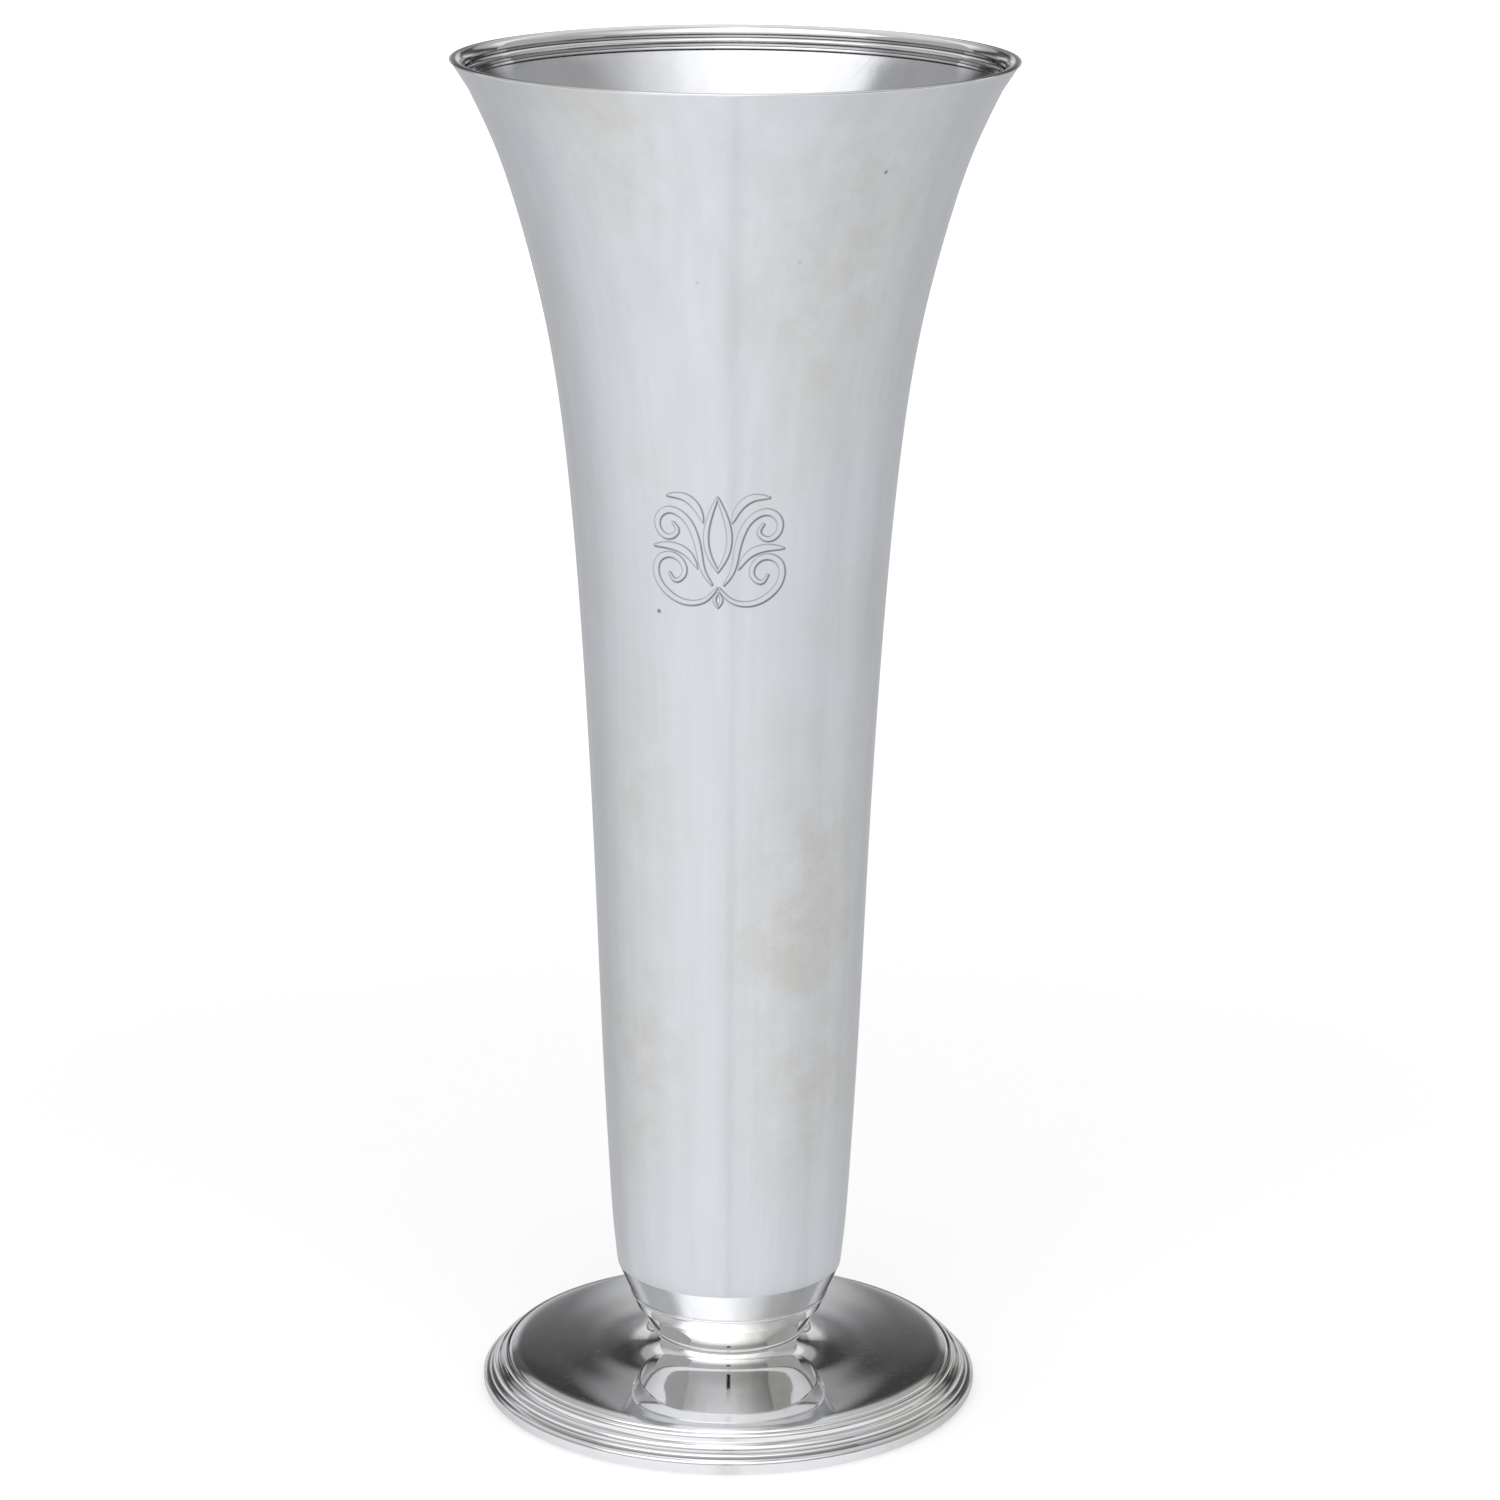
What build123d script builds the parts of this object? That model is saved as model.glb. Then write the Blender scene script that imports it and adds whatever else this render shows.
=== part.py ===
from build123d import *
import math
import os

os.makedirs("parts", exist_ok=True)

# Trumpet vase of thin silver sheet on a domed foot, lengths in millimetres.
# The origin is on the table in the middle of the foot, and +Z points up the axis of the vase.
# Every piece is turned round that axis: its section is drawn as (radius, height) and revolved.

# Overall sizes
vase_height = 355.6
lip_radius = 71.75
foot_radius = 65.9
neck_bore_radius = 18.0
seam_height = 27.0

# Film of solder between two faces that lie against each other
solder_gap = 0.05

# Body: a short cone from the seam up to the crease, the wall, then the straight lip
sheet = 1.0
cone_height = 8.0
cone_flare = 3.58
lip_height = 7.0
lip_flare = 4.55
crease_round = 1.2
flange_inset = 1.4

# The wall between crease and lip, as shares of its flare and of its height
wall_shares = [
    (0, 0),
    (0.0257, 0.0287),
    (0.0557, 0.0797),
    (0.0985, 0.1754),
    (0.1632, 0.3667),
    (0.2494, 0.558),
    (0.3497, 0.7015),
    (0.4635, 0.7972),
    (0.6548, 0.8929),
    (0.8328, 0.9566),
    (1, 1),
]

# Rim moulding: depths are measured down from the top, proud from the inner side of the lip
lip_cover = 0.6
lip_bead = 0.4
crest_drop = 0.1
lip_reed_end = 2.1
upper_groove_end = 3.05
middle_reed_end = 4.15
lower_groove_end = 5.1
moulding_depth = 5.75
groove_bevel = 0.15
reed_proud = 1.35
reed_root = 1.05
groove_proud = 0.5
edge_proud = 0.75

# Floor disc
floor_fit = 0.6
floor_sheet = 1.0

# Neck: collar and hollow spool round the bore, and the ring inside them
collar_height = 4.2
collar_proud = 8.6
collar_foot_proud = 6.6
collar_lip = 0.5
seam_lip = 0.35
spool_height = 7.8
ring_fit = 0.1
ring_sheet = 1.1
ring_reach = 2.4

# The spool from the collar down: how far it is proud of the bore, and its share of the way down
spool_shares = [(6.2, 0), (4.0, 0.51), (2.2, 0.88), (1.9, 0.95), (2.0, 1)]

# Foot dome: an upright neck, a small flare, a nearly flat slope and a round shoulder
dome_sheet = 1.0
dome_top_proud = 2.0
dome_flare_width = 2.6
dome_flare_height = 2.7
dome_shoulder_width = 1.35
dome_shoulder_height = 0.95
dome_edge = 1.2
dome_edge_height = 1.2
arc_share = math.sqrt(0.5)

# The slope from the flare out to the shoulder, as shares of its width and of its rise
slope_shares = [
    (0, 1),
    (0.096, 0.718),
    (0.21, 0.539),
    (0.436, 0.333),
    (0.663, 0.205),
    (0.833, 0.103),
    (1, 0),
]

# Foot border: each point is its inset from the edge of the foot and its height
base_roll = 2.5
base_shoulder = [(0, 3.2), (0.35, 4.05), (1.15, 4.35)]
step_line = [(1.55, 4.4), (1.7, 4.95), (2.35, 5.35), (2.65, 5.45), (2.7, 6.1)]
reed = [(2.7, 6.1), (3.15, 7.05), (4.15, 7.55)]
bead_groove = [(4.15, 7.55), (4.5, 7.35), (5.15, 7.6), (5.25, 8.35)]
bead = [(5.25, 8.35), (5.7, 9.3), (6.6, 9.5)]
ledge_height = 8.2
ledge_width = 2.3
border_hollow = [(8.9, 7.0), (7.1, 6.3), (4.6, 2.6), (4.0, 0)]


def turned(section):
    # The full turn of a section round the axis of the vase
    return revolve(section.sketch, axis=Axis.Z)


def moved_aside(stations, distance):
    # The stations of a line, moved to the left of its direction
    moved = []
    for i, (radius, height) in enumerate(stations):
        before = stations[max(i - 1, 0)]
        after = stations[min(i + 1, len(stations) - 1)]
        run = after[0] - before[0]
        rise = after[1] - before[1]
        length = math.hypot(run, rise)
        moved.append((radius - distance * rise / length, height + distance * run / length))
    return moved


def between(start, end, share):
    # The value at a share of the way from start to end
    return start + (end - start) * share


# Neck radii and heights, which the body, the spool, the ring and the dome share
collar_radius = neck_bore_radius + collar_proud
collar_bottom = seam_height - collar_height
collar_bottom_radius = neck_bore_radius + collar_foot_proud
dome_top = collar_bottom - spool_height
dome_top_radius = neck_bore_radius + dome_top_proud
ring_outer_radius = neck_bore_radius - ring_fit
ring_inner_radius = ring_outer_radius - ring_sheet

# Body: the wall with its straight lip, drawn in below the crease to a flat flange
cone_end_radius = collar_radius - seam_lip
crease = (cone_end_radius + cone_flare, seam_height + cone_height)
lip_foot = (lip_radius - lip_flare, vase_height - lip_height)
wall_stations = [
    (between(crease[0], lip_foot[0], flare), between(crease[1], lip_foot[1], rise))
    for flare, rise in wall_shares
]
lip_edge = (lip_radius - lip_bead, vase_height - lip_cover)
lip_slope = (lip_edge[0] - lip_foot[0]) / (lip_edge[1] - lip_foot[1])
lip_lean = math.hypot(1, lip_slope)


def lip_inner_radius(height):
    # Radius of the inner side of the straight lip
    return lip_edge[0] - (lip_edge[1] - height) * lip_slope - sheet * lip_lean


cone_slope = cone_flare / cone_height
cone_lean = math.hypot(1, cone_slope)
flange_top = seam_height + sheet
flange_hole_radius = ring_inner_radius - flange_inset
cone_inner_radius = cone_end_radius + sheet * (cone_slope - cone_lean)
inner_stations = moved_aside(wall_stations, sheet)
lip_inner_edge = (lip_inner_radius(lip_edge[1]), lip_edge[1])
with BuildSketch(Plane.XZ) as body_section:
    with BuildLine():
        Spline(*wall_stations)
        Polyline(wall_stations[-1], lip_edge, lip_inner_edge, inner_stations[-1])
        Spline(*inner_stations)
        Polyline(
            inner_stations[0],
            (cone_inner_radius, flange_top),
            (flange_hole_radius, flange_top),
            (flange_hole_radius, seam_height),
            (cone_end_radius, seam_height),
            wall_stations[0],
        )
    make_face()
trumpet_body = turned(body_section)
crease_edge = (
    trumpet_body.edges()
    .filter_by(GeomType.CIRCLE)
    .sort_by(lambda edge: math.hypot(edge.radius - crease[0], edge.center().Z - crease[1]))[0]
)
trumpet_body = fillet(crease_edge, crease_round)


# Rim moulding: two reeds and two grooves down the inside of the lip, over its edge
def on_lip(depth, proud):
    height = vase_height - depth
    return (lip_inner_radius(height) - proud, height)


middle_reed_crest = (upper_groove_end + middle_reed_end) / 2
reed_top = (lip_edge[0], vase_height - crest_drop)
lip_bead_side = (lip_radius, vase_height - lip_bead)
with BuildSketch(Plane.XZ) as rim_section:
    with BuildLine():
        ThreePointArc(lip_edge, lip_bead_side, reed_top)
        ThreePointArc(reed_top, on_lip(lip_reed_end / 2, reed_proud), on_lip(lip_reed_end, reed_root))
        Polyline(
            on_lip(lip_reed_end, reed_root),
            on_lip(lip_reed_end + groove_bevel, groove_proud),
            on_lip(upper_groove_end - groove_bevel, groove_proud),
            on_lip(upper_groove_end, reed_root),
        )
        ThreePointArc(
            on_lip(upper_groove_end, reed_root),
            on_lip(middle_reed_crest, reed_proud),
            on_lip(middle_reed_end, reed_root),
        )
        Polyline(
            on_lip(middle_reed_end, reed_root),
            on_lip(middle_reed_end + groove_bevel, groove_proud),
            on_lip(lower_groove_end, groove_proud),
            on_lip(lower_groove_end + groove_bevel, edge_proud),
            on_lip(moulding_depth, edge_proud),
            on_lip(moulding_depth, solder_gap),
            on_lip(lip_cover, solder_gap),
            lip_edge,
        )
    make_face()
rim_moulding = turned(rim_section)

# Floor: a flat disc lying on the flange of the body
floor_top = flange_top + floor_sheet
floor_radius = cone_inner_radius - floor_fit
with BuildSketch(Plane.XZ) as floor_section:
    with BuildLine():
        Polyline(
            (0, flange_top),
            (floor_radius, flange_top),
            (floor_radius, floor_top),
            (0, floor_top),
            close=True,
        )
    make_face()
body_floor = turned(floor_section)

# Collar: a plain band under the flange, its lip standing out at the seam
with BuildSketch(Plane.XZ) as collar_section:
    with BuildLine():
        Polyline(
            (neck_bore_radius, seam_height),
            (collar_radius, seam_height),
            (collar_radius, seam_height - collar_lip),
            (collar_radius - collar_lip, seam_height - 2 * collar_lip),
            (collar_bottom_radius, collar_bottom),
            (neck_bore_radius, collar_bottom),
            close=True,
        )
    make_face()
neck_collar = turned(collar_section)

# Spool: hollow outer side from the collar down to its waist and the foot
spool_side = [
    (neck_bore_radius + proud, between(collar_bottom, dome_top, down))
    for proud, down in spool_shares
]
with BuildSketch(Plane.XZ) as spool_section:
    with BuildLine():
        Spline(*spool_side)
        Polyline(
            spool_side[-1],
            (neck_bore_radius, dome_top),
            (neck_bore_radius, collar_bottom),
            spool_side[0],
        )
    make_face()
neck_spool = turned(spool_section)

# Locating ring: from under the flange down through the neck and the foot
ring_bottom = dome_top - ring_reach
with BuildSketch(Plane.XZ) as ring_section:
    with BuildLine():
        Polyline(
            (ring_inner_radius, ring_bottom),
            (ring_outer_radius, ring_bottom),
            (ring_outer_radius, seam_height),
            (ring_inner_radius, seam_height),
            close=True,
        )
    make_face()
locating_ring = turned(ring_section)

# Foot dome: spun sheet, flat under the spool and with its edge on the ledge of the border
border_width = bead[-1][0]
dome_edge_radius = foot_radius - border_width - solder_gap
dome_edge_top = ledge_height + dome_edge_height
flare_end = (dome_top_radius + dome_flare_width, dome_top - dome_flare_height)
shoulder = (dome_edge_radius - dome_shoulder_width, dome_edge_top + dome_shoulder_height)
slope = [
    (between(flare_end[0], shoulder[0], out), between(shoulder[1], flare_end[1], rise))
    for out, rise in slope_shares
]
slope_under = moved_aside(slope, -dome_sheet)
flare_middle = (
    between(flare_end[0], dome_top_radius, arc_share),
    between(dome_top, flare_end[1], arc_share),
)
shoulder_middle = (
    between(shoulder[0], dome_edge_radius, arc_share),
    between(dome_edge_top, shoulder[1], arc_share),
)
under_top = (dome_top_radius - dome_sheet, dome_top - dome_sheet)
under_middle = (
    between(slope_under[0][0], under_top[0], arc_share),
    between(under_top[1], slope_under[0][1], arc_share),
)
with BuildSketch(Plane.XZ) as dome_section:
    with BuildLine():
        Line((neck_bore_radius, dome_top), (dome_top_radius, dome_top))
        ThreePointArc((dome_top_radius, dome_top), flare_middle, flare_end)
        Spline(*slope)
        ThreePointArc(shoulder, shoulder_middle, (dome_edge_radius, dome_edge_top))
        Polyline(
            (dome_edge_radius, dome_edge_top),
            (dome_edge_radius, ledge_height),
            (dome_edge_radius - dome_edge, ledge_height),
            slope_under[-1],
        )
        Spline(*slope_under)
        ThreePointArc(slope_under[0], under_middle, under_top)
        Polyline(
            under_top,
            (neck_bore_radius, dome_top - dome_sheet),
            (neck_bore_radius, dome_top),
        )
    make_face()
foot_dome = turned(dome_section)

# Foot border: seat, rounded base, step, reed, groove and bead, with a hollow back
def on_foot(points):
    # Points of the border, from their insets to their radii
    return [(foot_radius - inset, height) for inset, height in points]


seat_edge = (foot_radius - base_roll, 0)
roll_inset = base_roll * (1 - math.sqrt(0.5))
ledge = [(border_width, ledge_height), (border_width + ledge_width, ledge_height)]
with BuildSketch(Plane.XZ) as border_section:
    with BuildLine():
        ThreePointArc(seat_edge, (foot_radius - roll_inset, roll_inset), (foot_radius, base_roll))
        Line((foot_radius, base_roll), on_foot(base_shoulder)[0])
        ThreePointArc(*on_foot(base_shoulder))
        Polyline(on_foot(base_shoulder)[-1], *on_foot(step_line))
        ThreePointArc(*on_foot(reed))
        Polyline(*on_foot(bead_groove))
        ThreePointArc(*on_foot(bead))
        Polyline(on_foot(bead)[-1], *on_foot(ledge), *on_foot(border_hollow), seat_edge)
    make_face()
foot_border = turned(border_section)

# The pieces, each in its own file
pieces = {
    "trumpet_body": trumpet_body,
    "rim_moulding": rim_moulding,
    "body_floor": body_floor,
    "neck_collar": neck_collar,
    "neck_spool": neck_spool,
    "locating_ring": locating_ring,
    "foot_dome": foot_dome,
    "foot_border": foot_border,
}
for name, shape in pieces.items():
    shape.label = name
    export_step(shape, "parts/" + name + ".step")
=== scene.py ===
import math

import bpy
import numpy as np
from mathutils import Matrix, Vector


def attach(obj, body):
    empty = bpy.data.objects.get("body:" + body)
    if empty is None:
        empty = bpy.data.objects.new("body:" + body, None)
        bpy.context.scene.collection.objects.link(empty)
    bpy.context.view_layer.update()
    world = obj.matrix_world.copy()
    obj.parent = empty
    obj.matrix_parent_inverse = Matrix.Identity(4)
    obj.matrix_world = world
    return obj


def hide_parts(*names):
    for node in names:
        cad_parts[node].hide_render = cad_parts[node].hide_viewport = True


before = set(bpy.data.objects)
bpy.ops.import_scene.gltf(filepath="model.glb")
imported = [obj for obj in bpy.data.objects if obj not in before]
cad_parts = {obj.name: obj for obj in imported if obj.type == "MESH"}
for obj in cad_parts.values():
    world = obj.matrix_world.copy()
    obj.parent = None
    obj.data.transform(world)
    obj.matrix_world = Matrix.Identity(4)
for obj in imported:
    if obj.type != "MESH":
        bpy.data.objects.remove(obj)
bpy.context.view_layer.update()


# Body: a tube of sheet silver, raised and spun to its flare, with a straight lip at the top.
# Below the crease it is drawn in to a cone and a flat flange, on which the foot is soldered.
# A scroll ornament is cut into its front with a graver, and the surface is left satin.
def smooth_line(stations, steps):
    # A cubic curve through measured stations (radius, height), evenly stepped along its length
    stations = np.array(stations, float)
    along = np.concatenate([[0.0], np.cumsum(np.hypot(*np.diff(stations, axis=0).T))])
    count = len(stations)
    weights, pull = np.zeros((count, count)), np.zeros((count, 2))
    weights[0, 0] = weights[-1, -1] = 1.0
    for i in range(1, count - 1):
        before, after = along[i] - along[i - 1], along[i + 1] - along[i]
        weights[i, i - 1:i + 2] = before, 2.0 * (before + after), after
        pull[i] = 6.0 * ((stations[i + 1] - stations[i]) / after - (stations[i] - stations[i - 1]) / before)
    bend = np.linalg.solve(weights, pull)
    places = np.linspace(0.0, along[-1], steps + 1)
    left = np.clip(np.searchsorted(along, places, side="right") - 1, 0, count - 2)
    span = (along[left + 1] - along[left])[:, None]
    of_left = (along[left + 1] - places)[:, None] / span
    of_right = (places - along[left])[:, None] / span
    bow = (of_left ** 3 - of_left) * bend[left] + (of_right ** 3 - of_right) * bend[left + 1]
    return of_left * stations[left] + of_right * stations[left + 1] + bow * span * span / 6.0


def offset_line(line, distance):
    # The line moved sideways, to the left of its direction
    step = np.gradient(line, axis=0)
    step /= np.hypot(step[:, 0], step[:, 1])[:, None]
    return line + distance * np.stack([-step[:, 1], step[:, 0]], 1)


def rounded_corner(before, corner, after, radius, steps=6):
    # The corner between two straight runs, rounded with an arc
    corner = np.array(corner, float)
    back, on = np.array(before) - corner, np.array(after) - corner
    back, on = back / np.hypot(*back), on / np.hypot(*on)
    half = math.acos(max(-1.0, min(1.0, float(back @ on)))) / 2.0
    middle = (back + on) / np.hypot(*(back + on))
    centre = corner + middle * radius / math.sin(half)
    first = corner + back * radius / math.tan(half) - centre
    last = corner + on * radius / math.tan(half) - centre
    start = math.atan2(first[1], first[0])
    sweep = (math.atan2(last[1], last[0]) - start + math.pi) % (2.0 * math.pi) - math.pi
    angles = start + sweep * np.linspace(0.0, 1.0, steps + 1)
    return centre + radius * np.stack([np.cos(angles), np.sin(angles)], 1)


def spun(name, section, angles, sharp=28.0, engraving=None, grooves=()):
    # A closed section (radius, height) in millimetres, spun round the upright axis of the vase
    section = np.array(section, float)
    section = section[np.hypot(*(section - np.roll(section, 1, axis=0)).T) > 1e-4]
    columns, rows = len(angles), len(section)
    radius = np.tile(section[:, 0], (columns, 1))
    height = np.tile(section[:, 1], (columns, 1))
    depth = np.zeros_like(radius)
    if engraving is not None:
        depth = engraving(angles[:, None], height, radius)
    radius = radius - depth
    points = np.stack([radius * np.sin(angles)[:, None], -radius * np.cos(angles)[:, None], height], -1)
    i, j = np.meshgrid(np.arange(columns), np.arange(rows), indexing="ij")
    next_i, next_j = (i + 1) % columns, (j + 1) % rows
    faces = np.stack([i * rows + j, next_i * rows + j, next_i * rows + next_j, i * rows + next_j], -1)
    mesh = bpy.data.meshes.new(name)
    mesh.from_pydata((points.reshape(-1, 3) / 1000.0).tolist(), [], faces.reshape(-1, 4).tolist())
    mesh.polygons.foreach_set("use_smooth", [True] * len(mesh.polygons))
    mesh.set_sharp_from_angle(angle=math.radians(sharp))
    # Painted shade with some tarnish, darkest where it gathers: 1 at the bottom of a cut, less in a groove
    # between two reeds
    dark = depth / max(depth.max(), 1e-9)
    groove_dark, lost_per_millimetre = 0.6, 2.0
    for groove_radius, groove_height in grooves:
        away = np.hypot(radius - groove_radius, height - groove_height)
        dark = np.maximum(dark, np.clip(groove_dark - lost_per_millimetre * away, 0.0, groove_dark))
    if dark.any():
        mesh.attributes.new("tarnish_and_shade", "FLOAT", "POINT").data.foreach_set("value", dark.ravel())
    piece = bpy.data.objects.new(name, mesh)
    bpy.context.scene.collection.objects.link(piece)
    return piece


sheet = 1.0
seam_height = 27.0
flange_hole, flange_edge, flange_top_edge = 17.0, 26.25, 25.6
crease_radius = 1.2
lip_edge = np.array((71.35, 355.0))
wall_stations = [
    (29.83, 35.0), (30.79, 44.0), (31.91, 60.0), (33.51, 90.0), (35.93, 150.0), (39.15, 210.0),
    (42.9, 255.0), (47.15, 285.0), (54.3, 315.0), (60.95, 335.0), (67.2, 348.6),
]

# The ornament is a symmetrical scroll, drawn here as its right half. Each stroke is an open ribbon,
# cut as two grooves along its edges: its middle line, its greatest half width, and that of its tips.
ornament_angle, ornament_height, ornament_radius = math.radians(-5.2), 238.0, 41.2
ornament_half_width, ornament_half_height = 18.4, 15.8
ribbon_share = 1.35
groove_depth, groove_half_width, groove_extra_width = 0.1, 0.3, 0.08
lower_volute = [
    (0.3, -9.6), (3.2, -12.6), (8.0, -13.6), (13.0, -11.6), (16.2, -7.4), (15.6, -3.0), (12.2, -1.4),
    (9.2, -3.2), (8.9, -6.6), (11.2, -8.0), (12.6, -6.3),
]
upper_volute = [
    (1.6, -8.6), (3.6, -5.4), (4.6, -1.0), (5.8, 4.2), (8.6, 8.8), (12.4, 10.2), (15.2, 8.0), (15.0, 4.6),
    (12.2, 3.2), (10.2, 5.0), (11.2, 6.9),
]
middle_leaf = [(0.0, 14.0), (1.9, 9.0), (2.9, 4.0), (2.2, -1.0), (0.0, -5.2)]
lower_leaf = [(5.2, -4.6), (8.0, -0.6), (12.0, 0.9), (16.6, 0.6)]
upper_leaf = [(3.6, 7.4), (5.0, 11.0), (8.2, 13.8), (12.6, 13.9)]
drop = [(0.0, -14.6), (0.9, -12.6), (0.0, -10.8)]
strokes = [
    (lower_volute, 0.62, 0.2), (upper_volute, 0.66, 0.2), (middle_leaf, 0.5, 0.15),
    (lower_leaf, 0.75, 0.05), (upper_leaf, 0.75, 0.05), (drop, 0.3, 0.1),
]


def engraved(angle, height, radius):
    # How deep the graver goes, in millimetres, at each point of the body
    across = (angle - ornament_angle) * ornament_radius
    across, rise = np.broadcast_arrays(across, height - ornament_height)
    outside = np.abs(radius - np.interp(height, wall[:, 1], wall[:, 0])) < sheet * 0.3
    here = (np.abs(across) < ornament_half_width) & (np.abs(rise) < ornament_half_height) & outside
    x, y, half = np.abs(across[here]), rise[here], np.sign(across[here])
    groove = np.zeros_like(x)
    for stroke, half_width, tip in strokes:
        line = smooth_line(stroke, 60)
        share = np.linspace(0.0, 1.0, len(line))
        widths = ribbon_share * (tip + (half_width - tip) * np.sin(np.pi * share) ** 0.6)
        nearest, width, shade = np.full_like(x, 9.0), np.zeros_like(x), np.zeros_like(x)
        for (start_x, start_y), (end_x, end_y), wide in zip(line[:-1], line[1:], widths[:-1]):
            run_x, run_y = end_x - start_x, end_y - start_y
            along = ((x - start_x) * run_x + (y - start_y) * run_y) / (run_x * run_x + run_y * run_y)
            along = np.clip(along, 0.0, 1.0)
            off_x, off_y = x - start_x - along * run_x, y - start_y - along * run_y
            away = np.hypot(off_x, off_y)
            closer = away < nearest
            nearest = np.where(closer, away, nearest)
            width = np.where(closer, wide, width)
            # The edge on the lower right is cut a little wider and deeper, and so gets more painted shade, as
            # if the light came from the upper left
            lower_right = (0.85 * half * off_x - 0.5 * off_y) / np.maximum(away, 0.05)
            shade = np.where(closer, np.clip(lower_right, -1.0, 1.0), shade)
        spread = np.abs(nearest - width) / (groove_half_width + groove_extra_width * shade)
        groove = np.maximum(groove, (0.76 + 0.24 * shade) * np.clip(1.0 - spread, 0.0, 1.0))
    depth = np.zeros_like(across)
    depth[here] = groove_depth * groove
    return depth


# The wall has fine rows and columns of points only where the ornament is cut
ornament_low, ornament_high = 221.8, 254.2
fine_steps, plain_step = 2160, 16
fine_wall = smooth_line(wall_stations, fine_steps)
kept = (fine_wall[:, 1] > ornament_low) & (fine_wall[:, 1] < ornament_high)
kept |= np.arange(len(fine_wall)) % plain_step == 0
wall = fine_wall[kept]
lip_slope = (lip_edge[0] - wall_stations[-1][0]) / (lip_edge[1] - wall_stations[-1][1])
lip_thickness = sheet * math.hypot(1.0, lip_slope)
body_section = np.concatenate([
    [(flange_hole, seam_height), (flange_edge, seam_height)],
    rounded_corner((flange_edge, seam_height), wall_stations[0], wall[1], crease_radius),
    wall[1:],
    [lip_edge, lip_edge - (lip_thickness, 0.0)],
    offset_line(fine_wall[::plain_step], sheet)[::-1],
    [(flange_top_edge, seam_height + sheet), (flange_hole, seam_height + sheet)],
])
front_half, front_step, back_columns = 0.45, 0.15 / ornament_radius, 222
front = np.arange(ornament_angle - front_half, ornament_angle + front_half, front_step)
back = np.linspace(front[-1], front[0] + 2.0 * math.pi, back_columns)[1:-1]
body = spun("vase_body", body_section, np.concatenate([front, back]), engraving=engraved)
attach(body, "root")
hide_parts("trumpet_body")


def node(tree, kind, links=None, **settings):
    # A node with its settings; links are {input: value or output socket}
    made = tree.nodes.new(kind)
    for key, value in settings.items():
        setattr(made, key, value)
    for key, value in (links or {}).items():
        if isinstance(value, bpy.types.NodeSocket):
            tree.links.new(value, made.inputs[key])
        else:
            made.inputs[key].default_value = value
    return made


def number(tree, operation, *values):
    # What an operation on numbers gives
    return node(tree, "ShaderNodeMath", dict(enumerate(values)), operation=operation).outputs[0]


def vector(tree, operation, *values):
    # What an operation on vectors gives; SCALE takes a vector and a number
    links = dict(enumerate(values))
    if operation == "SCALE":
        links = {0: values[0], 3: values[1]}
    made = node(tree, "ShaderNodeVectorMath", links, operation=operation)
    return made.outputs["Value" if operation in ("LENGTH", "DOT_PRODUCT") else "Vector"]


def mapped(tree, value, low, high, at_low=0.0, at_high=1.0, smooth=False):
    # A value carried over from one range to another, and held at its ends
    links = {0: value, 1: low, 2: high, 3: at_low, 4: at_high}
    shape = "SMOOTHSTEP" if smooth else "LINEAR"
    return node(tree, "ShaderNodeMapRange", links, interpolation_type=shape).outputs[0]


def blended(tree, share, first, second):
    # Two colours mixed
    return node(tree, "ShaderNodeMix", {0: share, 6: first, 7: second}, data_type="RGBA").outputs[2]


def clouds(tree, place, scale, detail, roughness=0.5):
    # Soft random clouds between 0 and 1
    links = {"Vector": place, "Scale": scale, "Detail": detail, "Roughness": roughness}
    return node(tree, "ShaderNodeTexNoise", links).outputs[0]


def effect(name, inputs, output):
    # An empty node group, the outputs of its input node and the inputs of its output node.
    # An input with three numbers is a vector.
    tree = bpy.data.node_groups.new(name, "ShaderNodeTree")
    for label, value in inputs.items():
        kind = "NodeSocketVector" if isinstance(value, tuple) else "NodeSocketFloat"
        socket = tree.interface.new_socket(name=label, in_out="INPUT", socket_type=kind)
        socket.default_value = value
    tree.interface.new_socket(name=output, in_out="OUTPUT", socket_type="NodeSocketFloat")
    return tree, tree.nodes.new("NodeGroupInput").outputs, tree.nodes.new("NodeGroupOutput").inputs


def placed(tree, group, **values):
    # The output of an effect, placed in a material with its own values
    return node(tree, "ShaderNodeGroup", values, node_tree=group).outputs[0]


# Hairlines: short fine scratches in three directions, from polishing cloths and from use
hairlines, given, result = effect(
    "hairlines", {"Place": (0.0, 0.0, 0.0), "Scale": 1.0, "Lean": 1.0}, "Scratches")
scaled = vector(hairlines, "SCALE", given["Place"], given["Scale"])
scratches = 0.0
for tilt, closeness in ((0.0, 40.0), (1.1, 26.0), (-0.7, 33.0)):
    turn = {"Vector": scaled, "Angle": number(hairlines, "MULTIPLY", given["Lean"], tilt)}
    tipped = node(hairlines, "ShaderNodeVectorRotate", turn, rotation_type="Y_AXIS")
    stretched = vector(hairlines, "MULTIPLY", tipped.outputs[0], (900.0, 900.0, closeness))
    line = mapped(hairlines, clouds(hairlines, stretched, 1.0, 1.0), 0.6, 0.78)
    scratches = number(hairlines, "MAXIMUM", scratches, line)
hairlines.links.new(scratches, result["Scratches"])

# Tarnish: soft uneven patches where the silver has yellowed a little
tarnish, given, result = effect(
    "tarnish", {"Place": (0.0, 0.0, 0.0), "Scale": 26.0, "Spread": 0.5}, "Patches")
full_patch = number(tarnish, "ADD", given["Spread"], 0.2)
cloud = clouds(tarnish, given["Place"], given["Scale"], 5.0, 0.6)
patches = mapped(tarnish, cloud, given["Spread"], full_patch, smooth=True)
tarnish.links.new(patches, result["Patches"])

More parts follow.
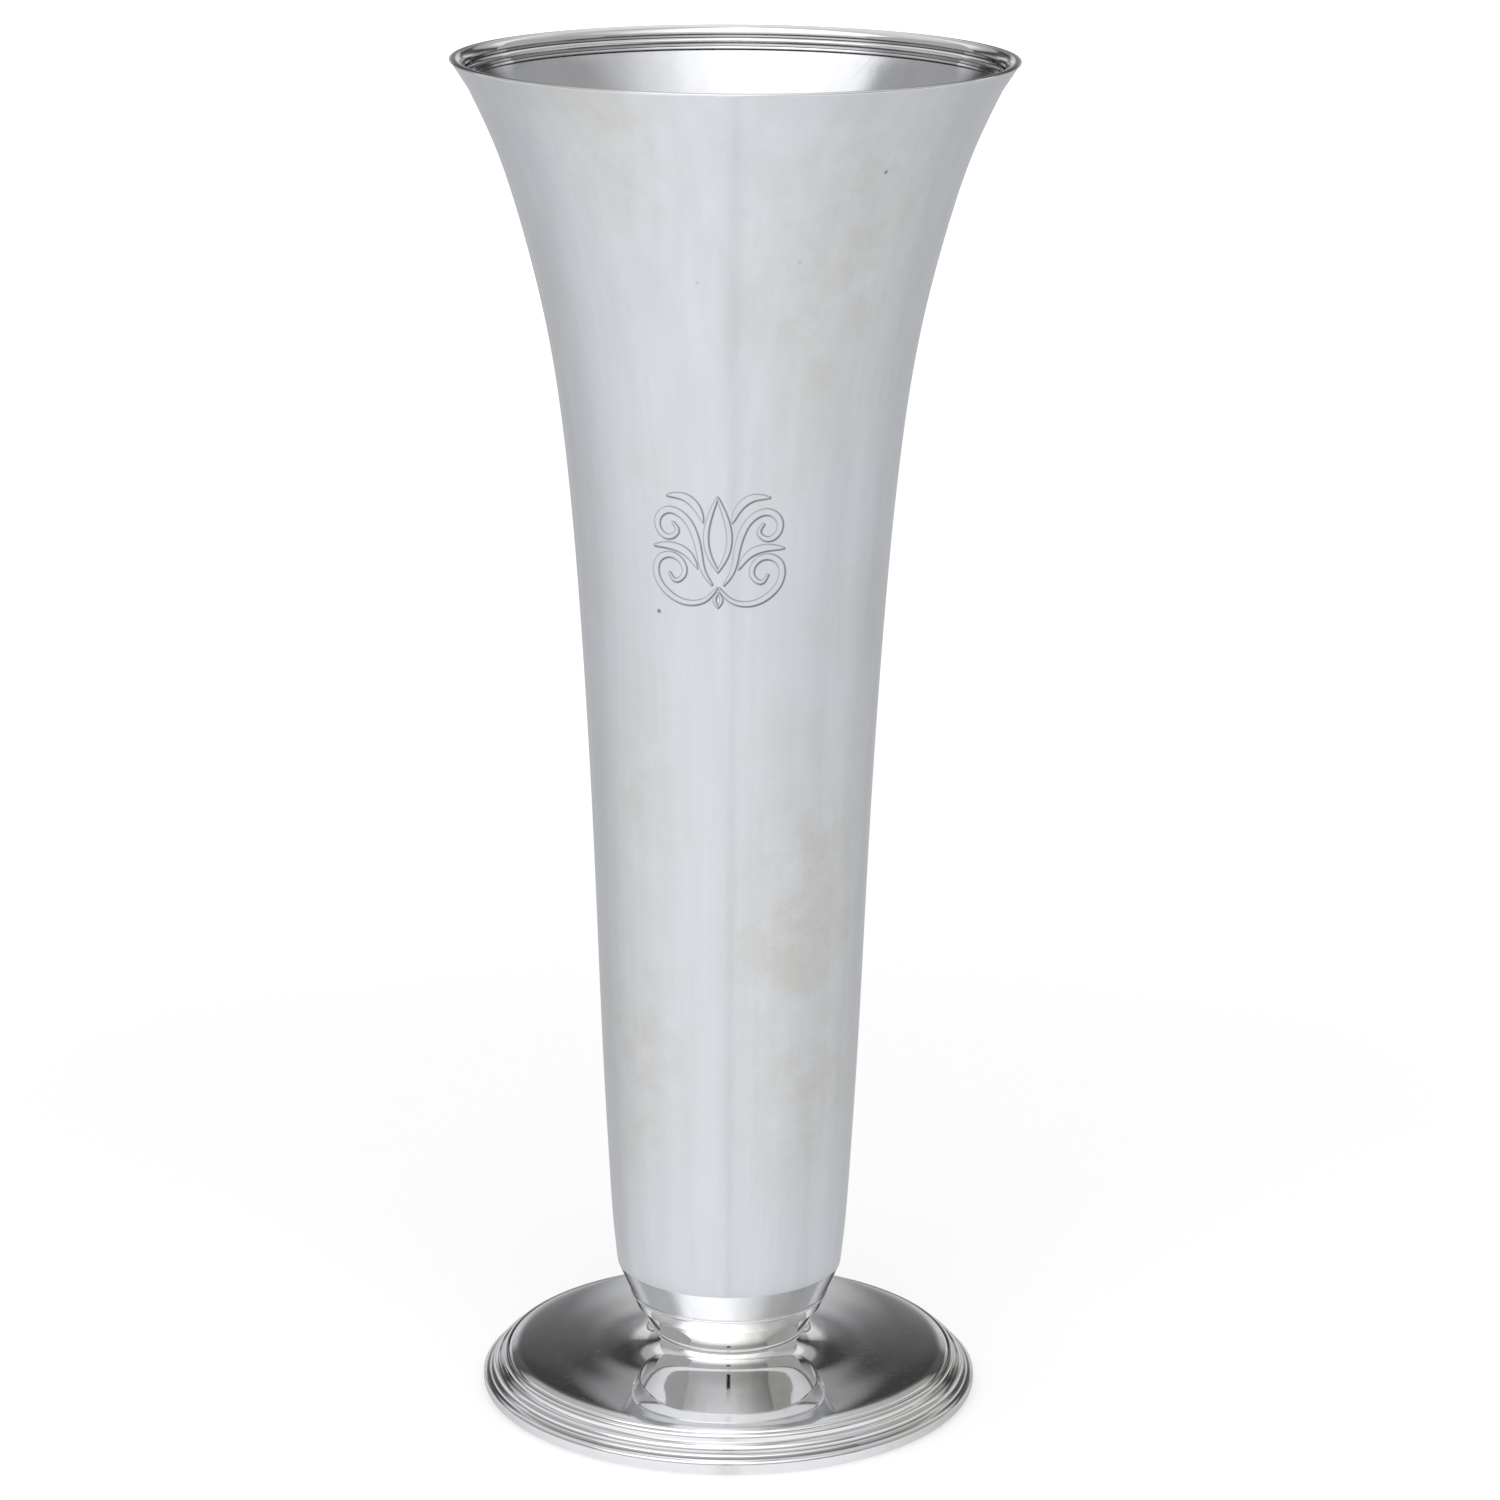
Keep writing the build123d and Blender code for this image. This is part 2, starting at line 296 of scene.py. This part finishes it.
# Wiping: faint upright streaks, left by drawing the polishing cloth along the wall
wiping, given, result = effect("wiping", {"Place": (0.0, 0.0, 0.0), "Strength": 0.03}, "Tone")
upright = vector(wiping, "MULTIPLY", given["Place"], (170.0, 170.0, 5.0))
darkest = number(wiping, "SUBTRACT", 1.0, given["Strength"])
lightest = number(wiping, "ADD", 1.0, given["Strength"])
tone = mapped(wiping, clouds(wiping, upright, 1.0, 4.0, 0.6), 0.3, 0.7, darkest, lightest)
wiping.links.new(tone, result["Tone"])

# Handling: a haze that dulls the polish here and there, and more so in the scratches
handling, given, result = effect(
    "handling", {"Place": (0.0, 0.0, 0.0), "Scratches": 0.0, "Gloss": 0.1, "Dulled": 0.2}, "Roughness")
cloud = clouds(handling, given["Place"], 40.0, 4.0, 0.65)
haze = mapped(handling, cloud, 0.3, 0.75, given["Gloss"], given["Dulled"])
handling.links.new(number(handling, "MULTIPLY_ADD", given["Scratches"], 0.06, haze), result["Roughness"])

# Dark lines: painted shade with some tarnish, at the bottoms of cuts and grooves
shade_and_tarnish_lines, given, result = effect("shade_and_tarnish_lines", {"Strength": 0.85}, "Darkness")
cut_shade_and_tarnish = node(shade_and_tarnish_lines, "ShaderNodeAttribute", attribute_name="tarnish_and_shade").outputs["Fac"]
darkness = mapped(shade_and_tarnish_lines, cut_shade_and_tarnish, 0.05, 0.8, 0.0, given["Strength"])
shade_and_tarnish_lines.links.new(darkness, result["Darkness"])


def near(tree, place, spots, stretch=(1.0, 1.0, 1.0)):
    # A mask of soft spots, each with its centre, its reach in metres and its strength
    mask = 0.0
    for centre, reach, strength in spots:
        away = vector(tree, "MULTIPLY", vector(tree, "SUBTRACT", place, centre), stretch)
        spot = mapped(tree, vector(tree, "LENGTH", away), 0.0, reach, strength, 0.0, smooth=True)
        mask = number(tree, "MAXIMUM", mask, spot)
    return mask


def silver(name, clean, aged, gloss, dulled, scratch, swell, wiped, aged_places=(), nicks=(), dull=None):
    # Sterling silver: its clean and aged colours, its roughness where clean and where handled,
    # the depths of its scratches and of its soft swell, and the strength of its wiped streaks.
    # dull gives the heights on the inner wall at which its polish begins to fade and is gone.
    material = bpy.data.materials.new(name)
    material.use_nodes = True
    tree = material.node_tree
    tree.nodes.clear()
    coordinates = node(tree, "ShaderNodeTexCoord").outputs
    place = coordinates["Object"]
    marks = placed(tree, hairlines, Place=place, Scale=1.0, Lean=1.0)
    age = placed(tree, tarnish, Place=place, Scale=26.0, Spread=0.5)
    if aged_places:
        uneven = mapped(tree, clouds(tree, place, 90.0, 5.0, 0.7), 0.32, 0.62)
        patch = number(tree, "MULTIPLY", near(tree, place, aged_places, (1.0, 1.0, 0.5)), uneven)
        age = number(tree, "MULTIPLY_ADD", age, 0.3, patch)
    nick_grey, cut_shade_grey = (0.1, 0.1, 0.1, 1.0), (0.12, 0.12, 0.125, 1.0)
    colour = blended(tree, age, clean, aged)
    colour = vector(tree, "SCALE", colour, placed(tree, wiping, Place=place, Strength=wiped))
    if nicks:
        colour = blended(tree, near(tree, place, nicks), colour, nick_grey)
    # Painted shade with some tarnish darkens the bottoms of cuts and grooves
    colour = blended(tree, placed(tree, shade_and_tarnish_lines, Strength=0.85), colour, cut_shade_grey)
    roughness = placed(tree, handling, Place=place, Scratches=marks, Gloss=gloss, Dulled=dulled)
    metallic = 1.0
    if dull:
        # Deep inside, where no cloth reaches, the wall stays dull
        inward = vector(tree, "MULTIPLY", place, (-30.0, -30.0, 0.0))
        facing_in = mapped(tree, vector(tree, "DOT_PRODUCT", inward, coordinates["Normal"]), 0.02, 0.3)
        height = node(tree, "ShaderNodeSeparateXYZ", {0: place}).outputs["Z"]
        unpolished = number(tree, "MULTIPLY", facing_in, mapped(tree, height, *dull, smooth=True))
        roughness = number(tree, "MULTIPLY_ADD", unpolished, 0.16, roughness)
        metallic = number(tree, "MULTIPLY_ADD", unpolished, -0.4, 1.0)
    relief = number(tree, "MULTIPLY", marks, -scratch)
    relief = number(tree, "MULTIPLY_ADD", clouds(tree, place, 22.0, 1.0), swell, relief)
    bump = node(tree, "ShaderNodeBump", {"Height": relief, "Distance": 0.001, "Strength": 1.0})
    shader = node(tree, "ShaderNodeBsdfPrincipled", {
        "Base Color": colour, "Metallic": metallic, "Roughness": roughness, "Normal": bump.outputs[0],
    })
    node(tree, "ShaderNodeOutputMaterial", {"Surface": shader.outputs[0]})
    return material


body.data.materials.append(silver(
    "satin_body_silver", clean=(0.69, 0.7, 0.72, 1.0), aged=(0.625, 0.615, 0.575, 1.0),
    gloss=0.13, dulled=0.22, scratch=0.004, swell=0.008, wiped=0.035, dull=(0.335, 0.22),
    aged_places=[
        ((0.0205, -0.029, 0.14), 0.034, 1.0), ((0.0205, -0.027, 0.1), 0.032, 0.9),
        ((0.0294, -0.0455, 0.315), 0.045, 0.75), ((-0.0323, -0.0581, 0.347), 0.03, 0.7),
        ((-0.0245, -0.023, 0.1), 0.028, 0.9), ((-0.025, -0.028, 0.165), 0.026, 0.6),
        ((0.03, -0.005, 0.2), 0.03, 0.5), ((-0.01, 0.036, 0.16), 0.03, 0.6),
    ],
    nicks=[
        ((0.0366, -0.0482, 0.334), 0.0009, 0.8), ((-0.0184, -0.0354, 0.2214), 0.0009, 0.9),
        ((-0.009, -0.0514, 0.3072), 0.0008, 0.25), ((0.0159, -0.0511, 0.3124), 0.0008, 0.25),
    ],
))

# Rim moulding: rolled silver wire with two reeds, bent to a ring and soldered inside the lip.
# It covers the sheet's raw edge, so the lip is stiff and feels round.
mouth_height = 355.6
full_turn = np.linspace(0.0, 2.0 * math.pi, 361)[:-1]


def arc(start, middle, end, steps):
    # The arc of a circle through three points of a section
    points = np.array([start, middle, end], float)
    chords = points[1:] - points[0]
    centre = np.linalg.solve(2.0 * chords, np.sum(points[1:] ** 2 - points[0] ** 2, axis=1))
    first, between, last = (math.atan2(y, x) for x, y in points - centre)
    whole = 2.0 * math.pi
    sweep = (last - first) % whole
    if (between - first) % whole > sweep:
        sweep -= whole
    angles = first + sweep * np.linspace(0.0, 1.0, steps + 1)
    return centre + np.hypot(*(points[0] - centre)) * np.stack([np.cos(angles), np.sin(angles)], 1)


def on_lip(depth, proud):
    # A place on the inner face of the lip: so far below the mouth, and so far out from the sheet
    height = mouth_height - depth
    return (lip_edge[0] - (lip_edge[1] - height) * lip_slope - lip_thickness - proud, height)


lip_crown = (71.35, 355.5)
reed_top, reed_bottom = on_lip(2.25, 0.5), on_lip(2.9, 0.5)
second_reed_bottom, step_top, step_edge = on_lip(4.3, 0.5), on_lip(5.1, 0.5), on_lip(5.75, 0.75)
rim_section = np.concatenate([
    arc(lip_edge, (71.75, 355.2), lip_crown, 8),
    arc(lip_crown, on_lip(1.05, 1.35), on_lip(2.1, 1.05), 12),
    [reed_top, reed_bottom],
    arc(on_lip(3.05, 1.05), on_lip(3.6, 1.35), on_lip(4.15, 1.05), 12),
    [second_reed_bottom, step_top, on_lip(5.25, 0.75), step_edge, on_lip(5.75, 0.05), on_lip(0.6, 0.05)],
])
rim = spun("lip_moulding", rim_section, full_turn, sharp=20.0, grooves=[
    reed_top, reed_bottom, second_reed_bottom, step_top, step_edge,
])
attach(rim, "root")
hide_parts("rim_moulding")
polished = silver(
    "polished_silver", clean=(0.87, 0.87, 0.875, 1.0), aged=(0.8, 0.79, 0.75, 1.0),
    gloss=0.03, dulled=0.06, scratch=0.0007, swell=0.003, wiped=0.02)
rim.data.materials.append(polished)

# Floor: a flat disc of sheet dropped into the body and soldered to the flange, to keep the water in.
# The locating ring below it centres body and foot. Both are the frame's own solids.
for name in ("body_floor", "locating_ring"):
    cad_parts[name].data.materials.clear()
    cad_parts[name].data.materials.append(polished)

# Collar: a plain band of thicker silver under the body, tapering downwards.
# Its lip stands out a little round the seam and hides the solder.
collar_height = 22.8
neck_bore = 18.0
collar_section = np.concatenate([
    [(neck_bore, collar_height), (24.5, collar_height)],
    arc((24.6, collar_height), (24.7, 22.95), (24.72, 23.05), 3),
    rounded_corner((24.6, collar_height), (26.05, 25.95), (26.6, 26.4), 0.5, 4),
    arc((26.45, 26.3), (26.62, 26.6), (26.45, 26.95), 8),
    [(26.3, seam_height), (neck_bore, seam_height)],
])
collar = spun("neck_band", collar_section, full_turn, sharp=20.0)
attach(collar, "root")
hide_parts("neck_collar")
collar.data.materials.append(polished)

# Spool: the hollow ring below the collar, drawn in to the narrowest place of the vase.
# It is soldered on the middle of the foot.
spool_height = 15.0
spool_stations = [(20.0, spool_height), (19.9, 15.39), (20.2, 15.94), (22.0, 18.82), (24.2, collar_height)]
spool_section = np.concatenate([
    [(neck_bore, spool_height)], smooth_line(spool_stations, 60), [(neck_bore, collar_height)],
])
spool = spun("neck_waist", spool_section, full_turn, sharp=20.0)
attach(spool, "root")
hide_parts("neck_spool")
spool.data.materials.append(polished)

# Foot: sheet silver spun over a chuck, with an upright neck, a nearly flat slope and a round shoulder.
# Its edge lies on a ledge inside the border and is soldered there.
ledge_height = 8.2
shoulder_end = (58.2, 10.05)
slope = smooth_line([
    shoulder_end, (57.0, 10.3), (54.5, 10.52), (50.0, 10.66), (44.0, 10.78), (38.0, 10.95), (32.0, 11.15),
    (28.0, 11.45), (25.0, 11.95), (22.6, 12.8), (21.0, 13.9), (20.0, spool_height),
], 320)
slope_under = offset_line(smooth_line([(57.9, 10.3), (46.0, 10.7), (30.0, 11.3), (22.6, 12.3)], 40), sheet)
dome_section = np.concatenate([
    [(58.05, ledge_height), (59.25, ledge_height)],
    arc((59.25, 9.0), (58.95, 9.62), shoulder_end, 16),
    slope[1:],
    [(neck_bore, spool_height), (neck_bore, spool_height - sheet)],
    arc((neck_bore + sheet, spool_height - sheet), (20.0, 12.09), (22.44, 11.31), 12),
    slope_under[::-1][1:],
])
dome = spun("domed_foot", dome_section, full_turn, sharp=24.0)
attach(dome, "root")
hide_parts("foot_dome")
dome.data.materials.append(polished)

# Border: a moulded ring with a rounded base, a step, a reed and a bead, soldered round the foot.
# The vase stands on the narrow flat seat under it.
seat_edge, base_groove, bead_groove = (61.9, 0.0), (64.35, 4.4), (63.25, 5.45)
reed_groove, bead_end = (61.4, 7.35), (59.3, 9.5)
border_section = np.concatenate([
    [seat_edge], arc((63.4, 0.0), (65.17, 0.73), (65.9, 2.5), 12),
    arc((65.9, 3.2), (65.55, 4.05), (64.75, 4.35), 8),
    [base_groove, (64.2, 4.95)], arc((64.15, 5.05), (63.9, 5.3), (63.55, 5.35), 4), [bead_groove],
    arc((63.2, 6.1), (62.75, 7.05), (61.75, 7.55), 12),
    [reed_groove, (60.75, 7.6)],
    arc((60.65, 8.35), (60.2, 9.3), bead_end, 12),
    [(59.3, ledge_height), (57.0, ledge_height), (57.0, 7.0), (58.8, 6.3), (61.3, 2.6)],
])
border = spun("foot_moulding", border_section, full_turn, sharp=20.0, grooves=[
    base_groove, bead_groove, reed_groove, bead_end, seat_edge,
])
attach(border, "root")
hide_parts("foot_border")
border.data.materials.append(polished)


# Studio: a white table in a pale room, with a broad soft lamp high above the camera.
# Cards round the vase give the silver something to mirror: a backdrop with a dark band across it,
# a tent, and grey cards at both sides. The lens itself doesn't see them.
def card(name, corners, strength, white=0.0):
    # Flat sheets with four corners each, that glow evenly and reflect as much as they are white
    mesh = bpy.data.meshes.new(name)
    mesh.from_pydata(corners, [], [tuple(range(i, i + 4)) for i in range(0, len(corners), 4)])
    made = bpy.data.objects.new(name, mesh)
    bpy.context.scene.collection.objects.link(made)
    material = bpy.data.materials.new(name)
    material.use_nodes = True
    surface = material.node_tree.nodes["Principled BSDF"].inputs
    surface["Base Color"].default_value = (white, white, white, 1.0)
    surface["Roughness"].default_value = 0.9
    surface["Specular IOR Level"].default_value = 0.0
    surface["Emission Color"].default_value = (1.0, 1.0, 1.0, 1.0)
    surface["Emission Strength"].default_value = strength
    mesh.materials.append(material)
    return made, material.node_tree, surface


def level_square(half, height):
    # The corners of a square that lies level, with its middle under the vase
    return [(-half, -half, height), (half, -half, height), (half, half, height), (-half, half, height)]


def upright_sheet(half, depth, low, high):
    # The corners of an upright sheet across the view
    return [(-half, depth, low), (half, depth, low), (half, depth, high), (-half, depth, high)]


def seen(tree):
    # 1 where the lens, or a mirrored or refracted view, looks; 0 for light that only falls
    path = node(tree, "ShaderNodeLightPath").outputs
    looked_at = number(tree, "MAXIMUM", path["Is Camera Ray"], path["Is Glossy Ray"])
    return number(tree, "MAXIMUM", looked_at, path["Is Transmission Ray"])


def greys(tree, share, stops, tint, shape="EASE"):
    # A run of greys over a share from 0 to 1, through stops (share, grey), with a slight tint
    ramp = node(tree, "ShaderNodeValToRGB", {0: share})
    ramp.color_ramp.interpolation = shape
    elements = ramp.color_ramp.elements
    for k, (at, grey) in enumerate(stops):
        stop = elements[k] if k < 2 else elements.new(at)
        stop.position = at
        stop.color = (grey * tint[0], grey * tint[1], grey * tint[2], 1.0)
    return ramp.outputs[0]


# The paper on the table glows where it is looked at, more so far away, and so looks white
table_half, table_white = 7.0, 0.86
table, tree, surface = card("table", level_square(table_half, 0.0), 0.0, table_white)
position = node(tree, "ShaderNodeNewGeometry").outputs["Position"]
faded = mapped(tree, vector(tree, "LENGTH", position), 0.3, 3.0, 0.4, 0.8)
tree.links.new(number(tree, "MULTIPLY", seen(tree), faded), surface["Emission Strength"])

# The backdrop stands 1.6 metres behind the vase, with its dark band 0.7 to 0.9 metres up.
# Its greys by height differ straight behind the vase, beside that, and further aside.
backdrop_half, backdrop_depth, backdrop_low, backdrop_high = 2.2, 1.6, 0.12, 2.6
backdrop_tint = (1.0, 1.01, 1.03)
greys_behind = [
    (0.12, 0.75), (0.45, 0.66), (0.58, 0.58), (0.655, 0.4), (0.685, 0.12), (0.695, 0.1), (0.712, 0.27),
    (0.84, 0.36), (1.1, 0.8), (2.6, 1.0),
]
greys_beside = [
    (0.12, 0.5), (0.45, 0.3), (0.54, 0.22), (0.6, 0.165), (0.64, 0.123), (0.68, 0.09), (0.73, 0.055),
    (0.8, 0.05), (0.92, 0.12), (1.1, 0.45), (1.5, 0.85), (2.6, 1.0),
]
greys_aside = [
    (0.12, 0.75), (0.45, 0.64), (0.58, 0.45), (0.68, 0.12), (0.88, 0.08), (1.0, 0.4), (1.4, 0.5), (2.6, 0.8),
]
corners = upright_sheet(backdrop_half, backdrop_depth, backdrop_low, backdrop_high)
backdrop, tree, surface = card("backdrop", corners, 1.0)
position = node(tree, "ShaderNodeNewGeometry").outputs["Position"]
axes = node(tree, "ShaderNodeSeparateXYZ", {0: position}).outputs
share_of_height = mapped(tree, axes["Z"], backdrop_low, backdrop_high)
zones = []
for stops in (greys_behind, greys_beside, greys_aside):
    stops = [((height - backdrop_low) / (backdrop_high - backdrop_low), grey) for height, grey in stops]
    zones.append(greys(tree, share_of_height, stops, backdrop_tint))
aside = number(tree, "ABSOLUTE", axes["X"])
zone_edge = mapped(tree, axes["Z"], 0.69, 0.72, 0.06, 0.09)
glow = blended(tree, mapped(tree, aside, zone_edge, 0.13, smooth=True), zones[0], zones[1])
begins = mapped(tree, aside, 0.21, 0.38, smooth=True)
ends = mapped(tree, aside, 0.7, 1.0, 1.0, 0.0, smooth=True)
glow = blended(tree, number(tree, "MULTIPLY", begins, ends), glow, zones[2])
tree.links.new(glow, surface["Emission Color"])

# The table as the silver mirrors it, a glowing sheet with painted light and shade: bright towards the lamp,
# dimmer behind the vase, and with a painted shadow close to its foot. The sheet lies a hair above the table.
mirrored_half, mirrored_height = 6.5, 0.0002
mirrored, tree, surface = card("mirrored_table", level_square(mirrored_half, mirrored_height), 1.0)
position = node(tree, "ShaderNodeNewGeometry").outputs["Position"]
axes = node(tree, "ShaderNodeSeparateXYZ", {0: position}).outputs
reach = vector(tree, "LENGTH", position)
behind = number(tree, "DIVIDE", axes["Y"], reach)
to_right = number(tree, "DIVIDE", axes["X"], reach)
stops = [(0.0, 0.52), (0.08, 0.54), (0.24, 0.62), (0.42, 0.77), (0.75, 0.92), (1.0, 1.02)]
glow = greys(tree, mapped(tree, behind, 1.0, -1.0), stops, (0.985, 1.0, 1.03), shape="LINEAR")
right_side = mapped(tree, behind, -0.3, 0.5, 0.9, 1.05)
sideways = mapped(tree, to_right, -1.0, 1.0, 1.06, right_side)
# Painted shadow round the foot: the mirrored table dims close to it, less in front than at the sides and
# behind
shadow_beside_foot = mapped(tree, behind, -1.0, -0.3, 0.95, 0.6)
contact_shadow = mapped(tree, reach, 0.063, 0.09, shadow_beside_foot, 1.0, smooth=True)
# Painted shade of the camera's stand: a narrow dim stripe through the table's middle
stripe = mapped(tree, number(tree, "ABSOLUTE", to_right), 0.02, 0.08, 0.88, 1.0, smooth=True)
strength = number(tree, "MULTIPLY", number(tree, "MULTIPLY", sideways, contact_shadow), stripe)
tree.links.new(glow, surface["Emission Color"])
tree.links.new(strength, surface["Emission Strength"])

# A soft white tent closes over the vase; it glows most over the camera's left shoulder
tent_radius, tent_columns, tent_rows = 3.0, 40, 9
tent_corners = []
for column in range(tent_columns):
    for row in range(tent_rows):
        for next_column, next_row in ((0, 0), (1, 0), (1, 1), (0, 1)):
            angle = math.radians(360.0 / tent_columns * (column + next_column))
            rise = math.radians(90.0 / tent_rows * (row + next_row))
            out = tent_radius * math.cos(rise)
            tent_corners.append((out * math.sin(angle), -out * math.cos(angle), tent_radius * math.sin(rise)))
tent, tree, surface = card("soft_tent", tent_corners, 1.0)
position = node(tree, "ShaderNodeNewGeometry").outputs["Position"]
axes = node(tree, "ShaderNodeSeparateXYZ", {0: position}).outputs
around = number(tree, "ARCTAN2", axes["X"], number(tree, "MULTIPLY", axes["Y"], -1.0))
greys_round = [
    (-180, 0.5), (-120, 0.4), (-92, 0.36), (-68, 0.9), (-30, 1.0), (0, 0.96), (24, 0.8), (46, 0.6),
    (70, 0.38), (100, 0.3), (180, 0.5),
]
stops = [((degrees + 180) / 360, grey) for degrees, grey in greys_round]
glow = greys(tree, mapped(tree, around, -math.pi, math.pi), stops, (1.0, 1.0, 1.01))
tree.links.new(glow, surface["Emission Color"])
tree.links.new(mapped(tree, axes["Z"], 1.0, 2.4, 0.55, 1.75, smooth=True), surface["Emission Strength"])

# Grey cards at both sides, and the camera itself, a small dark box that the silver mirrors
side_distance, side_front, side_back, side_low, side_high = 2.2, -1.2, 1.6, 0.1, 2.4
side_corners = []
for x in (-side_distance, side_distance):
    side_corners += [(x, side_front, side_low), (x, side_back, side_low)]
    side_corners += [(x, side_back, side_high), (x, side_front, side_high)]
sides = card("side_cards", side_corners, 0.42)[0]
camera_box = card("camera_box", upright_sheet(0.06, -1.23, 0.4, 0.62), 0.01)[0]
for thing in (backdrop, mirrored, tent, sides, camera_box):
    thing.visible_camera = False
    thing.visible_diffuse = False
    thing.visible_shadow = False

# The lamp hangs above the camera and points at the middle of the vase; the silver doesn't mirror it
lamp_width, lamp_depth, lamp_glow = 2.4, 0.8, 1.1
lamp_data = bpy.data.lights.new("broad_lamp", "AREA")
lamp_data.shape = "RECTANGLE"
lamp_data.size, lamp_data.size_y = lamp_width, lamp_depth
lamp_data.energy = lamp_glow * math.pi * lamp_width * lamp_depth
lamp = bpy.data.objects.new("broad_lamp", lamp_data)
bpy.context.scene.collection.objects.link(lamp)
lamp.visible_glossy = False
lamp.location = (0.0, -1.15, 1.5)
lamp.rotation_euler = (Vector((0.0, 0.0, 0.2)) - lamp.location).to_track_quat("-Z", "Y").to_euler()

# The room's white walls look brighter than the light that they give
world = bpy.data.worlds.new("studio")
bpy.context.scene.world = world
world.use_nodes = True
room = world.node_tree.nodes["Background"].inputs
room["Color"].default_value = (1.0, 1.0, 1.0, 1.0)
brightness = mapped(world.node_tree, seen(world.node_tree), 0.0, 1.0, 0.62, 1.0)
world.node_tree.links.new(brightness, room["Strength"])

# Camera: it looks at the vase's front from a little above its rim, 1.2 metres away.
# The lens is 4814 pixels long, for a picture 1500 pixels square.
picture_size, lens_length, film_width = 1500.0, 4814.1, 36.0
eye = Vector((0.0, -1.2096, 0.5038))
pitch, swing, roll = math.radians(15.172), 0.00392, 0.0063
right = Vector((math.cos(swing), -math.sin(swing), 0.0))
ahead = Vector((math.sin(swing) * math.cos(pitch), math.cos(swing) * math.cos(pitch), -math.sin(pitch)))
upward = right.cross(ahead)
across = right * math.cos(roll) + upward * math.sin(roll)
above = upward * math.cos(roll) - right * math.sin(roll)
camera_data = bpy.data.cameras.new("camera")
camera_data.sensor_width = film_width
camera_data.lens = film_width * lens_length / picture_size
camera_data.clip_end = 20.0
camera = bpy.data.objects.new("camera", camera_data)
bpy.context.scene.collection.objects.link(camera)
camera.matrix_world = Matrix.Translation(eye) @ Matrix((
    (across.x, above.x, -ahead.x, 0.0),
    (across.y, above.y, -ahead.y, 0.0),
    (across.z, above.z, -ahead.z, 0.0),
    (0.0, 0.0, 0.0, 1.0),
))
bpy.context.scene.camera = camera

bpy.context.scene.view_settings.view_transform = "Standard"
